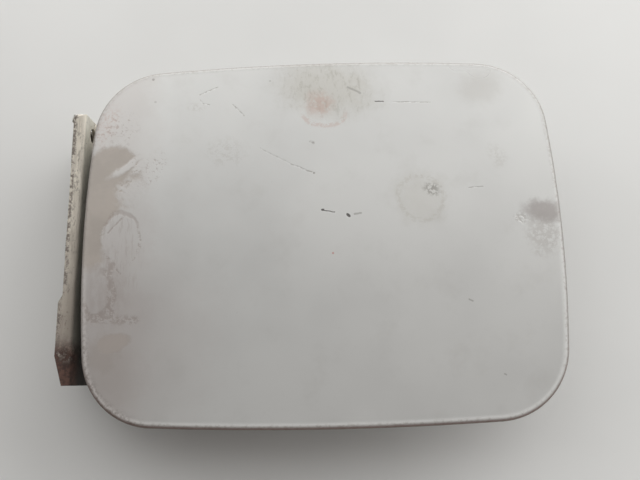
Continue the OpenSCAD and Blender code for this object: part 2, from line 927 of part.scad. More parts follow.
outer_skin();
inner_panel();
flutter_mastic();
weld_nuts();
hinge_arm();
arm_bolts();
bush_far();
bush_near();
thrust_washer();
hinge_pin();
pin_clip();
body_bracket();
torsion_spring();
striker();
striker_rivets();
bumper_far();
bumper_near();
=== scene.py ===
"""Looks for the car fuel door: finer skin and spring, materials, table, lamps and the photograph's camera."""
import math

import bpy
from mathutils import Matrix, Vector

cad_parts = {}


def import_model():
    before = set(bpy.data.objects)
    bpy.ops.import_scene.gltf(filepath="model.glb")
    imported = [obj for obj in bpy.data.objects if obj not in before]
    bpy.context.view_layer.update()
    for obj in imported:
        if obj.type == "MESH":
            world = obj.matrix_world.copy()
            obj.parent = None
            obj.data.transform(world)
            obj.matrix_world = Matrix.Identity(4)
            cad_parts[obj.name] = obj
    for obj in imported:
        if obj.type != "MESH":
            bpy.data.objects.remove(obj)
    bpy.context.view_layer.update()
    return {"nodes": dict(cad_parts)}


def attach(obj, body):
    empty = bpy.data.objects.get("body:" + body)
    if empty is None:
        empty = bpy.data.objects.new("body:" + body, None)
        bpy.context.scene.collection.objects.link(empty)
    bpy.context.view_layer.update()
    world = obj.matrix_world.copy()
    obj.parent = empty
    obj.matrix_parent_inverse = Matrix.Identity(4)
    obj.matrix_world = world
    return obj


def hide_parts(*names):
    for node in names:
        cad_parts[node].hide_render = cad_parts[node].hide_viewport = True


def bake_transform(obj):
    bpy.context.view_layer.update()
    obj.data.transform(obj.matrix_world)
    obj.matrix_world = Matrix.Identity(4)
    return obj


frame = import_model()
NODES = frame["nodes"]
MM = 0.001

# Sizes in millimetres, the same as in the part's source: the skin's outline, crown, rolled edge and folded hem
DOOR_W = 200.0
DOOR_H = 155.5
SIDE_BOW = 5.2
LONG_BOW = 3.4
CORNER_R = 30.2
CROWN_X = 2.6
CROWN_Y = 2.0
SKIN_T = 0.8
ROLL_R = 2.0
HEM_W = 8.0
HEM_H = 2.4
FOLD_IN = 0.88
MID_X = 99.0
EDGE_Z = 32.0

# The pivot's X and Z, and the spring round it
PIVOT = (-9.0, 21.5)
WIRE_R = 0.45
COIL_R = 2.6
COILS = 7
COIL_PITCH = 1.12
LEG_LEN = 9.0

# Only in the finer skin: the hem's broken edge, and the inset from which its rings shrink towards the middle
HEM_EDGE = 0.22
FIELD = 21.0

HALF_W = DOOR_W / 2
HALF_H = DOOR_H / 2
SIDE_ARC_R = (HALF_H ** 2 + SIDE_BOW ** 2) / (2 * SIDE_BOW)
LONG_ARC_R = (HALF_W ** 2 + LONG_BOW ** 2) / (2 * LONG_BOW)
CORNER_MIN_R = HALF_H / 13

# Imported points closer than this, in metres, are welded, and edges sharper than this many degrees are broken
WELD_GAP = 1e-6
SHARP_ANGLE = 32


# ---------------------------------------------------------------- shapes

def corner_centre(inset):
    """Centre of the corner arc that touches the side arc and the long arc."""
    radius = max(CORNER_R - inset, CORNER_MIN_R)
    side_x, long_y = HALF_W - SIDE_ARC_R, HALF_H - LONG_ARC_R
    ra, rb = SIDE_ARC_R - inset - radius, LONG_ARC_R - inset - radius
    span = math.hypot(side_x, long_y)
    along = (ra * ra - rb * rb + span * span) / (2 * span)
    across = math.sqrt(ra * ra - along * along)
    ux, uy = -side_x / span, long_y / span
    return side_x + along * ux - across * uy, along * uy + across * ux, radius


def arc(cx, cy, radius, a0, a1, steps):
    """Points along an arc, without its last one."""
    angles = [a0 + (a1 - a0) * i / steps for i in range(steps)]
    return [(cx + radius * math.cos(a), cy + radius * math.sin(a)) for a in angles]


def outline(inset, side_steps=22, corner_steps=26, long_steps=26):
    """The door's outline at a distance inside its edge, as points round its middle."""
    cx, cy, radius = corner_centre(inset)
    side_x, long_y = HALF_W - SIDE_ARC_R, HALF_H - LONG_ARC_R
    a0 = math.atan2(cy, cx - side_x)
    a1 = math.atan2(cy - long_y, cx)
    q = (arc(side_x, 0, SIDE_ARC_R - inset, 0, a0, side_steps) + arc(cx, cy, radius, a0, a1, corner_steps)
         + arc(0, long_y, LONG_ARC_R - inset, a1, math.pi / 2, long_steps))
    top = HALF_H - inset
    return (q + [(0, top)] + [(-x, y) for x, y in q[:0:-1]] + [(-x, -y) for x, y in q] + [(0, -top)]
            + [(x, -y) for x, y in q[:0:-1]])


def crown(x, y):
    """Height of the outer face over EDGE_Z; x and y go from the middle of the door."""
    return CROWN_X * (1 - (x / HALF_W) ** 2) - CROWN_Y * (y / HALF_H) ** 2


def mesh_object(name, verts, faces):
    mesh = bpy.data.meshes.new(name)
    mesh.from_pydata([tuple(c * MM for c in v) for v in verts], [], faces)
    mesh.validate()
    mesh.update()
    for p in mesh.polygons:
        p.use_smooth = True
    obj = bpy.data.objects.new(name, mesh)
    bpy.context.scene.collection.objects.link(obj)
    return obj


def loft(rings, first, last):
    """Faces between rings of equally many points, with a cap point at each end."""
    n = len(rings[0])
    verts = [p for r in rings for p in r] + [first, last]
    base = (len(rings) - 1) * n
    faces = []
    for a in range(0, base, n):
        for j in range(n):
            m = (j + 1) % n
            faces.append((a + j, a + m, a + n + m, a + n + j))
    faces += [(len(verts) - 2, (j + 1) % n, j) for j in range(n)]
    faces += [(len(verts) - 1, base + j, base + (j + 1) % n) for j in range(n)]
    return verts, faces


def door_ring(inset, dz, shrink):
    """One ring of points at an inset from the edge and a height over the crown, drawn in towards the middle."""
    ring = [(x * shrink, y * shrink) for x, y in outline(inset)]
    return [(x + MID_X, y, EDGE_Z + crown(x, y) + dz) for x, y in ring]


def door_skin():
    """Painted outer sheet: crowned face, rolled edge and folded hem, in fine steps."""
    smallest, field_steps, slope_steps = 0.03, 26, 12
    shrinks = [smallest + (1 - smallest) * i / field_steps for i in range(field_steps + 1)]
    slopes = [FIELD - (FIELD - ROLL_R) * i / slope_steps for i in range(1, slope_steps)]
    roll = [math.radians(9 * i) for i in range(11)]
    fold = [math.radians(18 * i) for i in range(6)]
    under, over = -HEM_H, SKIN_T - HEM_H

    # Each row: inset from the edge, height over the crown, share of the way out from the middle
    rows = [(FIELD, 0, s) for s in shrinks] + [(d, 0, 1) for d in slopes]
    rows += [(ROLL_R * (1 - math.sin(a)), ROLL_R * (math.cos(a) - 1), 1) for a in roll]
    rows += [(SKIN_T * (1 - math.cos(a)), over - SKIN_T * math.sin(a), 1) for a in fold]
    rows += [(2.5, under, 1), (5.0, under, 1), (HEM_W - HEM_EDGE, under, 1), (HEM_W, under + HEM_EDGE, 1),
             (HEM_W, over - HEM_EDGE, 1), (HEM_W - HEM_EDGE, over, 1), (4.0, over, 1), (FOLD_IN, over, 1),
             (FOLD_IN, -SKIN_T, 1), (4.0, -SKIN_T, 1), (HEM_W, -SKIN_T, 1)]
    rows += [(FIELD, -SKIN_T, s) for s in reversed(shrinks)]
    rings = [door_ring(*row) for row in rows]
    top = EDGE_Z + CROWN_X
    obj = mesh_object("door_skin", *loft(rings, (MID_X, 0, top), (MID_X, 0, top - SKIN_T)))

    # Distance from the edge, for the wear in the paint and the painted shade along the edge
    inset = [d + (1 - s) * (HALF_H - d) for d, _, s in rows for _ in rings[0]] + [HALF_H, HALF_H]
    obj.data.attributes.new("inset", "FLOAT", "POINT").data.foreach_set("value", inset)
    return obj


def spring_path():
    """The wire's middle line round the pin: a leg up from the bracket, the coil, and a leg down to the arm."""
    half = COILS * COIL_PITCH / 2
    leg_steps, per_turn = 9, 36
    total = int((COILS + 0.5) * per_turn)
    path = [(-COIL_R, -half, LEG_LEN * (k / leg_steps - 1)) for k in range(leg_steps)]
    for i in range(total + 1):
        a = math.pi - math.tau * i / per_turn
        path.append((COIL_R * math.cos(a), 2 * half * (i / total - 0.5), COIL_R * math.sin(a)))
    return path + [(COIL_R, half, -LEG_LEN * k / leg_steps) for k in range(1, leg_steps + 1)]


def spring_wire():
    """Torsion spring: round wire along its path, one leg on the bracket and one on the arm."""
    path = spring_path()
    sides = 12
    pin = Vector((PIVOT[0], 0, PIVOT[1]))
    rings = []
    for i, p in enumerate(path):
        ahead = (Vector(path[min(i + 1, len(path) - 1)]) - Vector(path[max(i - 1, 0)])).normalized()
        out = Vector((p[0], 0, p[2] if abs(p[2]) < COIL_R else 0))
        out = (out - ahead * out.dot(ahead)).normalized()
        up = ahead.cross(out)
        rings.append([tuple(pin + Vector(p) + WIRE_R * (out * math.cos(t) + up * math.sin(t)))
                      for t in (math.tau * s / sides for s in range(sides))])
    return mesh_object("spring_wire", *loft(rings, tuple(pin + Vector(path[0])), tuple(pin + Vector(path[-1]))))


# ---------------------------------------------------------------- materials

class Net:
    """Adds shader nodes to one material and wires them. Positions are in millimetres in the part's frame."""

    def __init__(self, name):
        self.mat = bpy.data.materials.new(name)
        self.mat.use_nodes = True
        self.tree = self.mat.node_tree
        self.shader = self.tree.nodes["Principled BSDF"]
        coords = self.tree.nodes.new("ShaderNodeTexCoord")
        self.pos = self.vec("SCALE", coords.outputs["Object"], scale=1 / MM)

    def put(self, socket, value):
        if isinstance(value, bpy.types.NodeSocket):
            self.tree.links.new(value, socket)
        elif value is not None:
            if socket.type == "RGBA" and not isinstance(value, (int, float)):
                value = tuple(value)[:3] + (1.0,)
            socket.default_value = value

    def math(self, op, a, b=None, c=None, clamp=False):
        n = self.tree.nodes.new("ShaderNodeMath")
        n.operation, n.use_clamp = op, clamp
        for socket, value in zip(n.inputs, (a, b, c)):
            self.put(socket, value)
        return n.outputs[0]

    def vec(self, op, a, b=None, scale=None):
        n = self.tree.nodes.new("ShaderNodeVectorMath")
        n.operation = op
        self.put(n.inputs[0], a)
        if b is not None:
            self.put(n.inputs[1], b)
        if scale is not None:
            self.put(n.inputs["Scale"], scale)
        return n.outputs["Value" if op in ("LENGTH", "DOT_PRODUCT", "DISTANCE") else "Vector"]

    def noise(self, size, detail=3.0, rough=0.5, at=None, seed=0.0, color=False):
        """Noise whose blobs are about size millimetres across."""
        n = self.tree.nodes.new("ShaderNodeTexNoise")
        base = self.pos if at is None else at
        self.put(n.inputs["Vector"], self.vec("ADD", base, (seed, seed * 1.7, seed * 0.6)))
        self.put(n.inputs["Scale"], 1.0 / size)
        self.put(n.inputs["Detail"], detail)
        self.put(n.inputs["Roughness"], rough)
        return n.outputs["Color" if color else "Fac"]

    def fade(self, value, lo, hi, a=0.0, b=1.0):
        """Smooth step of a value from a at lo to b at hi."""
        n = self.tree.nodes.new("ShaderNodeMapRange")
        n.interpolation_type = "SMOOTHSTEP"
        for key, v in (("Value", value), ("From Min", lo), ("From Max", hi), ("To Min", a), ("To Max", b)):
            self.put(n.inputs[key], v)
        return n.outputs[0]

    def mix(self, fac, a, b):
        """Colour between a and b."""
        n = self.tree.nodes.new("ShaderNodeMix")
        n.data_type = "RGBA"
        for key, v in ((0, fac), (6, a), (7, b)):
            self.put(n.inputs[key], v)
        return n.outputs[2]

    def blend(self, fac, a, b):
        """Number between a and b."""
        n = self.tree.nodes.new("ShaderNodeMix")
        n.data_type = "FLOAT"
        for key, v in ((0, fac), (2, a), (3, b)):
            self.put(n.inputs[key], v)
        return n.outputs[0]

    def split(self, vector):
        n = self.tree.nodes.new("ShaderNodeSeparateXYZ")
        self.put(n.inputs[0], vector)
        return n.outputs

    def flat(self, at):
        """The position without its height, so a mark looks the same through the sheet's crown."""
        return self.vec("MULTIPLY", at, (1, 1, 0))

    def warp(self, size, amount, seed=0.0):
        """The flat position, bent by noise."""
        shift = self.vec("SUBTRACT", self.noise(size, 3.0, 0.6, seed=seed, color=True), (0.5, 0.5, 0.5))
        return self.flat(self.vec("ADD", self.pos, self.vec("SCALE", shift, scale=2 * amount)))

    def oval(self, centre, radii, angle, at):
        """Distance from an ellipse's centre in shares of its radius."""
        turn = self.tree.nodes.new("ShaderNodeMapping")
        turn.vector_type = "TEXTURE"
        self.put(turn.inputs["Vector"], self.flat(self.pos) if at is None else at)
        self.put(turn.inputs["Location"], (centre[0] + MID_X, centre[1], 0))
        self.put(turn.inputs["Rotation"], (0, 0, math.radians(angle)))
        self.put(turn.inputs["Scale"], (radii[0], radii[1], 1))
        return self.vec("LENGTH", turn.outputs[0])

    def blob(self, centre, radii, angle=0.0, soft=0.15, at=None, grain=None, grain_amount=0.3):
        """Mask of an ellipse, 1 inside; grain breaks its edge up."""
        far = self.oval(centre, radii, angle, at)
        if grain is not None:
            far = self.math("MULTIPLY_ADD", self.math("SUBTRACT", grain, 0.5), 2 * grain_amount, far)
        return self.fade(far, 1 + soft, 1 - soft)

    def ring(self, centre, radii, angle=0.0, width=0.1, at=None):
        """Mask of a thin line along an ellipse; width is a share of its radius."""
        off = self.math("ABSOLUTE", self.math("SUBTRACT", self.oval(centre, radii, angle, at), 1.0))
        return self.fade(off, width, width * 0.3)

    def streak(self, a, b, width, at=None, soft=0.4):
        """Mask of a scratch from a to b."""
        base = self.flat(self.pos) if at is None else at
        start = (a[0] + MID_X, a[1], 0)
        run = (b[0] - a[0], b[1] - a[1], 0)
        size = run[0] ** 2 + run[1] ** 2
        rel = self.vec("SUBTRACT", base, start)
        along = self.math("DIVIDE", self.vec("DOT_PRODUCT", rel, run), size, clamp=True)
        near = self.vec("SCALE", run, scale=along)
        far = self.vec("DISTANCE", rel, near)
        return self.fade(far, width * (1 + soft), width * (1 - soft))

    def any(self, *masks):
        out = masks[0]
        for m in masks[1:]:
            out = self.math("MAXIMUM", out, m)
        return out

    def times(self, first, *others):
        for other in others:
            first = self.math("MULTIPLY", first, other)
        return first

    def stain(self, under, mask, amount, color):
        """Colour laid over what is under it, as strongly as the mask says, times an amount."""
        return self.mix(self.times(mask, amount), under, color)

    def jitter(self, value, noise, amount):
        """A value moved up and down by a noise."""
        return self.math("MULTIPLY_ADD", self.math("SUBTRACT", noise, 0.5), amount, value)

    def bump(self, height, strength, distance, under=None):
        n = self.tree.nodes.new("ShaderNodeBump")
        self.put(n.inputs["Height"], height)
        self.put(n.inputs["Strength"], strength)
        self.put(n.inputs["Distance"], distance)
        if under is not None:
            self.put(n.inputs["Normal"], under)
        return n.outputs[0]

    def finish(self, color, rough, normal=None, metal=0.0, **constant):
        self.put(self.shader.inputs["Base Color"], color)
        self.put(self.shader.inputs["Roughness"], rough)
        self.put(self.shader.inputs["Metallic"], metal)
        if normal is not None:
            self.put(self.shader.inputs["Normal"], normal)
        for key, value in constant.items():
            self.shader.inputs[key.replace("_", " ")].default_value = value
        return self.mat


RUST = (0.16, 0.075, 0.04)


class DoorPaint(Net):
    """Aged silver-white paint with the marks that the photograph shows, placed from the middle of the door."""

    def __init__(self):
        super().__init__("door_paint")
        self.broad = self.noise(60, 3, 0.55, seed=3)
        self.cloudy = self.noise(14, 4, 0.6, seed=9)
        self.fine = self.noise(1.1, 2, 0.5, seed=5)
        self.ragged = self.noise(5.0, 6, 0.68, seed=21)
        self.crisp = self.noise(1.6, 4, 0.7, seed=33)
        self.wavy = self.warp(9, 2.2, seed=12)
        self.wiry = self.warp(4, 0.6, seed=17)
        self.x, self.y, self.z = self.split(self.pos)
        edge = self.tree.nodes.new("ShaderNodeAttribute")
        edge.attribute_name = "inset"
        self.inset = edge.outputs["Fac"]

    def patch(self, centre, radii, angle, soft, grain):
        """Mask of a patch whose edge is bent and broken up."""
        return self.blob(centre, radii, angle, soft, self.wavy, self.ragged, grain)

    def torn(self, mask, lo, hi):
        """A mask with holes in it where the crisp noise is low."""
        return self.times(mask, self.fade(self.crisp, lo, hi))

    def drawn(self, size, detail, rough, at, along, seed):
        """Noise drawn out along Y."""
        return self.noise(size, detail, rough, self.vec("MULTIPLY", at, (1, along, 1)), seed)

    def chip(self, centre, radii, angle=0, soft=0.3, grain=0.3):
        """Mask of a small chip with a crisp, uneven edge."""
        return self.blob(centre, radii, angle, soft, self.wiry, self.crisp, grain)

    def scratch(self, a, b, width, soft=0.4):
        return self.streak(a, b, width, self.wiry, soft)

    def scratches(self, rows):
        return self.any(*[self.scratch(a, b, width) for a, b, width in rows])

    def coat(self):
        """The paint itself, darker towards the hinge with dirt and painted shade and reflection, and with
        painted shade at the lower left.
        """
        paint = self.mix(self.fade(self.broad, 0.3, 0.7), (0.60, 0.60, 0.59), (0.645, 0.645, 0.633))
        paint = self.stain(paint, self.fade(self.cloudy, 0.5, 0.8), 0.25, (0.50, 0.49, 0.47))
        specks = self.fade(self.noise(0.8, 4, 0.7, seed=71), 0.60, 0.70)
        specks = self.times(specks, self.fade(self.ragged, 0.40, 0.70))
        paint = self.stain(paint, specks, 0.22, (0.40, 0.385, 0.355))
        # Darker towards the hinge side: partly dirt, partly painted shade and painted reflection
        self.hinge_side_dirt_and_shade = self.fade(self.jitter(self.x, self.cloudy, 24.0), MID_X - 64, MID_X - 82)
        paint = self.stain(paint, self.hinge_side_dirt_and_shade, 0.3, (0.45, 0.395, 0.375))
        # Painted shade and painted reflection: a warm darker patch over the lower left of the face
        painted_shade_lower_left = self.blob((-86, -42), (34, 36), 0, 0.7, self.wavy, self.cloudy, 0.3)
        return self.stain(paint, painted_shade_lower_left, 0.34, (0.38, 0.325, 0.31))

    def hinge_side(self, color):
        """Flat primer with flakes of paint in it beside the hinge, and brown lines where the paint lifts."""
        bare = self.any(
            self.patch((-88.5, 31), (12.5, 10.5), 4, 0.12, 0.25),
            self.torn(self.patch((-84, 21), (10.5, 8), 0, 0.2, 0.5), 0.40, 0.50),
            self.patch((-92, 19), (9.0, 20), -4, 0.14, 0.35),
            self.patch((-96.5, -1), (6.5, 12), -4, 0.3, 0.5))
        flakes = self.any(
            self.torn(self.patch((-82, 32), (8.5, 1.7), 35, 0.4, 0.7), 0.30, 0.42),
            self.torn(self.patch((-77, 31), (4.5, 2.0), 40, 0.4, 0.7), 0.35, 0.48),
            self.torn(self.patch((-79, 19.5), (7.0, 6.5), 0, 0.4, 0.8), 0.36, 0.50))
        island = self.blob((-83, 0.5), (8.0, 10.6), 4, 0.1, self.wavy, self.crisp, 0.3)
        self.bare = self.times(bare, self.math("SUBTRACT", 1.0, self.any(flakes, island)))
        primer = self.mix(self.fade(self.cloudy, 0.35, 0.65), (0.385, 0.345, 0.31), (0.435, 0.39, 0.35))

        low_ring = (-92, -22.5), (6.4, 9.2), 0
        self.lifted = self.any(
            self.times(self.ring((-83, 0.5), (8.2, 11.0), 4, 0.12, self.wavy), self.fade(self.y, 3, 8), 0.8),
            self.times(self.torn(self.ring((-82.5, 0), (7.4, 11.5), 4, 0.12, self.wavy), 0.5, 0.56),
                       self.fade(self.x, MID_X - 82, MID_X - 77)),
            self.times(self.torn(self.ring(*low_ring, 0.24, self.wavy), 0.36, 0.5),
                       self.fade(self.x, MID_X - 93, MID_X - 89)),
            self.times(self.torn(self.ring(*low_ring, 0.2, self.wavy), 0.36, 0.5), self.fade(self.y, -24, -28)),
            self.torn(self.scratch((-89, 3), (-82, 10), 0.35, 0.5), 0.40, 0.5),
            self.torn(self.streak((-97, -33), (-76, -33.5), 1.6, self.wavy, 0.6), 0.42, 0.54),
            self.torn(self.streak((-88, -9), (-86, -31), 1.3, self.wavy, 0.6), 0.40, 0.52),
            self.torn(self.streak((-90, -6), (-83, -14), 0.6, self.wavy, 0.5), 0.42, 0.54),
            self.torn(self.patch((-87, 49), (8, 7), 40, 0.6, 0.8), 0.54, 0.62),
            self.torn(self.patch((-71, 30), (7, 4), 60, 0.6, 0.8), 0.54, 0.62))
        smudges = self.torn(self.any(self.patch((-39.5, 36.5), (8, 5.5), -10, 0.6, 0.8),
                                     self.patch((-52.6, 58.3), (3.5, 2.2), 0, 0.6, 0.8)), 0.46, 0.58)
        scuffed = self.times(self.patch((-89, -20), (9, 17), 6, 0.5, 0.5),
                             self.fade(self.drawn(2.4, 4, 0.7, self.pos, 0.35, 67), 0.34, 0.62))
        self.lower = self.any(
            self.patch((-84.5, -42.5), (7.0, 4.0), 16, 0.2, 0.45),
            self.times(self.patch((-88.5, -48), (6.5, 7.5), 20, 0.5, 0.6), 0.7),
            self.times(self.patch((-86, -56), (10, 12), 10, 0.7, 0.5), 0.35))
        hairs = self.times(self.fade(self.drawn(0.9, 3, 0.65, self.wiry, 0.12, 83), 0.55, 0.64),
                           self.patch((-83, -4), (9, 18), 4, 0.4, 0.6))

        color = self.stain(color, self.bare, 0.9, primer)
        color = self.stain(color, scuffed, 0.3, (0.38, 0.33, 0.305))
        color = self.stain(color, hairs, 0.25, (0.35, 0.30, 0.275))
        color = self.stain(color, smudges, 0.22, (0.36, 0.33, 0.29))
        color = self.stain(color, self.lifted, 0.45, (0.30, 0.245, 0.22))
        return self.stain(color, self.lower, 0.6, (0.37, 0.32, 0.285))

    def far_film(self, color):
        """Dirt and rusty film at the middle of the far edge, and rust specks at the corner beside the hinge."""
        self.film = self.patch((4, 65), (19, 12), -12, 0.55, 0.6)
        rusty = self.times(self.patch((0.5, 57.5), (5.0, 5.0), 10, 0.7, 0.7), self.fade(self.crisp, 0.30, 0.55))
        corner_rust = self.torn(self.patch((-93.5, 52), (5.5, 9), -18, 0.7, 0.8), 0.44, 0.58)
        rust_arc = self.torn(self.ring((2.5, 57.5), (10, 10.5), 0, 0.14, self.wavy), 0.42, 0.54)
        rust_arc = self.times(rust_arc, self.fade(self.y, 56, 50))
        strokes = self.times(self.film, self.fade(self.drawn(1.5, 5, 0.72, self.wavy, 0.4, 64), 0.48, 0.66))
        color = self.stain(color, self.film, 0.38, (0.40, 0.375, 0.315))
        color = self.stain(color, strokes, 0.42, (0.33, 0.315, 0.27))
        rust = self.any(rusty, self.times(rust_arc, 0.7), self.times(corner_rust, 0.6))
        return self.stain(color, rust, 0.42, (0.46, 0.27, 0.215))

    def dull_places(self, color):
        """Rubbed spot, patch at the latch edge and other dull places."""
        self.rubbed = self.patch((42, 14.5), (10.5, 10), 0, 0.5, 0.7)
        rub_ring = self.torn(self.ring((42, 14.5), (9.5, 9.5), 0, 0.16, self.wavy), 0.42, 0.56)
        self.nicks = self.torn(self.patch((46.6, 17.8), (3.4, 2.4), -30, 0.6, 0.5), 0.46, 0.54)
        self.latch_patch = self.patch((92.5, 8.0), (7.5, 4.6), -10, 0.4, 0.6)
        self.trail = self.torn(self.patch((92, -2), (7.0, 8.0), 0, 0.5, 0.7), 0.38, 0.56)
        self.flaked = self.torn(self.patch((83.1, 4.7), (2.4, 2.6), 0, 0.5, 0.5), 0.44, 0.54)
        hazy = self.any(self.patch((70, 64), (9, 7), 20, 0.6, 0.6),
                        self.torn(self.patch((75, 32), (3.2, 4.5), 20, 0.6, 0.6), 0.42, 0.56))
        uneven = self.times(self.latch_patch, self.fade(self.ragged, 0.25, 0.5, 0.6, 1.0))
        color = self.stain(color, self.rubbed, 0.22, (0.41, 0.385, 0.33))
        color = self.stain(color, rub_ring, 0.22, (0.38, 0.35, 0.29))
        color = self.stain(color, self.nicks, 0.6, (0.20, 0.185, 0.165))
        color = self.stain(color, hazy, 0.25, (0.40, 0.375, 0.34))
        color = self.stain(color, self.any(self.trail, self.flaked), 0.38, (0.33, 0.30, 0.275))
        return self.stain(color, uneven, 0.75, (0.31, 0.28, 0.27))

    def scratches_and_chips(self, color):
        """Scratches and chips, dark where they reach the metal."""
        self.light_scratches = self.any(
            self.scratches((
                ((-51.5, 64.0), (-43.6, 67.2), 0.28), ((-51.2, 61.5), (-50, 59.8), 0.3),
                ((-50, 59.8), (-46.9, 59.0), 0.22), ((-36.9, 58.5), (-32.0, 53.4), 0.3),
                ((-12.3, 30.6), (-2.4, 26.3), 0.28), ((32.4, 57.6), (48.3, 57.2), 0.2),
                ((62, 18), (68, 18.5), 0.2), ((-3.5, 40.3), (-2.5, 40), 0.5))),
            self.times(self.scratch((-25, 38.1), (-12.3, 30.6), 0.25), 0.6))
        self.dark_chips = self.any(
            self.chip((1.2, 9.9), (0.6, 0.5), 0, 0.25, 0.2), self.scratch((1.6, 9.6), (6.0, 9.0), 0.2, 0.3),
            self.chip((11.7, 7.4), (1.0, 0.62), -45, 0.25, 0.2), self.scratch((24.7, 58.1), (28.2, 57.9), 0.22))
        rim_chips = self.any(
            self.chip((-72.7, 72.6), (0.7, 0.6)), self.chip((-2.3, 26.2), (0.5, 0.5)),
            self.times(self.any(self.blob((-71.1, 61.5), (0.6, 0.5)), self.blob((-20.7, 69.4), (0.5, 0.45)),
                                self.blob((-2.2, 39.5), (0.6, 0.5))), 0.5),
            self.torn(self.streak((-60, 76.9), (-32, 77.1), 0.4, None, 0.5), 0.44, 0.54),
            self.torn(self.streak((-32, 77.1), (34, 77.1), 0.35, None, 0.5), 0.52, 0.58))
        grey_chips = self.any(
            self.scratch((14.4, 8.0), (16.9, 8.3), 0.4), self.scratch((13.2, 65.3), (18.3, 62.3), 0.5, 0.6),
            self.scratch((59, -28.5), (60.4, -29), 0.3), self.scratch((71, -58), (71.8, -58.4), 0.25))
        chip_rims = self.any(self.chip((11.7, 7.4), (1.6, 1.2), -45, 0.2, 0.3),
                             self.scratch((1.2, 9.8), (6.0, 9.0), 0.55))
        color = self.stain(color, self.torn(self.light_scratches, 0.42, 0.55), 0.55, (0.27, 0.25, 0.23))
        color = self.stain(color, chip_rims, 0.35, (0.72, 0.72, 0.71))
        color = self.stain(color, grey_chips, 0.5, (0.22, 0.21, 0.19))
        color = self.stain(color, rim_chips, 0.55, (0.19, 0.17, 0.155))
        color = self.stain(color, self.dark_chips, 0.9, (0.07, 0.062, 0.058))
        return self.stain(color, self.blob((4.9, -8.4), (0.45, 0.45)), 0.6, (0.50, 0.16, 0.12))

    def rolled_edge(self, color):
        """Wear along the rolled edge, painted shade on the roll and just inside the far edge, and grime under
        it.
        """
        self.worn = self.torn(self.fade(self.inset, 3.0, 0.4), 0.50, 0.58)
        lower_edge = self.fade(self.y, -40, -74)
        corner = self.patch((-90, -58), (14, 22), 35, 0.4, 0.4)
        scraped = self.torn(self.times(self.fade(self.inset, 5.0, 0.5), corner), 0.48, 0.56)
        # Painted shade: the rolled edge darkened all round, reddish-brown towards the near edge
        self.edge_dark = self.times(self.fade(self.inset, 1.7, 0.45),
                                    self.math("MULTIPLY_ADD", lower_edge, 0.08, 0.8))
        # Painted shade: a band just inside the far edge, darkened against the lamp's highlight
        painted_shade_far_edge = self.times(self.fade(self.inset, 3.4, 1.4), self.fade(self.y, 20, 60))
        self.grime = self.fade(self.z, 30.8, 29.4)
        color = self.stain(color, scraped, 0.6, (0.17, 0.14, 0.125))
        color = self.stain(color, self.worn, 0.5, (0.30, 0.265, 0.235))
        color = self.mix(self.edge_dark, color, self.mix(lower_edge, (0.22, 0.20, 0.185), (0.17, 0.105, 0.085)))
        color = self.stain(color, painted_shade_far_edge, 0.15, (0.36, 0.345, 0.325))
        return self.stain(color, self.grime, 0.5, (0.30, 0.27, 0.245))

    def build(self):
        color = self.rolled_edge(self.scratches_and_chips(self.dull_places(self.far_film(
            self.hinge_side(self.coat())))))

        rim = self.fade(self.inset, 3.4, 1.9)
        dull = self.any(self.bare, self.film, self.times(self.trail, 0.9), self.rubbed, self.latch_patch,
                        self.lower, self.times(self.hinge_side_dirt_and_shade, 0.5))
        duller = self.any(self.dark_chips, self.worn, self.grime, self.edge_dark)
        rough = self.blend(self.fade(self.broad, 0.3, 0.7), 0.27, 0.34)
        for mask, level in ((dull, 0.5), (duller, 0.62), (rim, 0.55)):
            rough = self.math("MAXIMUM", rough, self.times(mask, level))

        low = self.any(self.bare, self.dark_chips, self.times(self.light_scratches, 0.6),
                       self.times(self.lifted, 0.6), self.times(self.nicks, 0.7), self.flaked)
        coat = self.bump(self.math("SUBTRACT", 1.0, low), 0.35, 0.00012)
        peel = self.bump(self.fine, 0.05, 0.0001, coat)
        return self.finish(color, rough, peel, self.blend(rim, 0.3, 0.04), Specular_IOR_Level=0.5)


def aged(name, base, dirt, rough, metal, rust_amount, seed):
    """Painted or plated metal with dirt in clouds, rust specks and a fine uneven surface."""
    n = Net(name)
    broad = n.noise(22, 4, 0.6, seed=seed)
    cloud = n.noise(6, 5, 0.62, seed=seed + 7)
    speck = n.noise(2.2, 5, 0.7, seed=seed + 13)
    fine = n.noise(0.5, 3, 0.6, seed=seed + 19)
    color = n.stain(base, n.fade(broad, 0.35, 0.7), 0.55, dirt)
    color = n.stain(color, n.fade(cloud, 0.5, 0.72), 0.4, dirt)
    spots = n.fade(speck, 0.70 - rust_amount, 0.78 - rust_amount)
    color = n.stain(color, spots, 0.85, RUST)
    r = n.blend(n.fade(cloud, 0.3, 0.7), rough[0], rough[1])
    r = n.math("MAXIMUM", r, n.times(spots, 0.8))
    normal = n.bump(n.math("MULTIPLY_ADD", spots, -0.6, fine), 0.12, 0.00015)
    return n.finish(color, r, normal, n.blend(spots, metal, 0.0) if metal else 0.0)


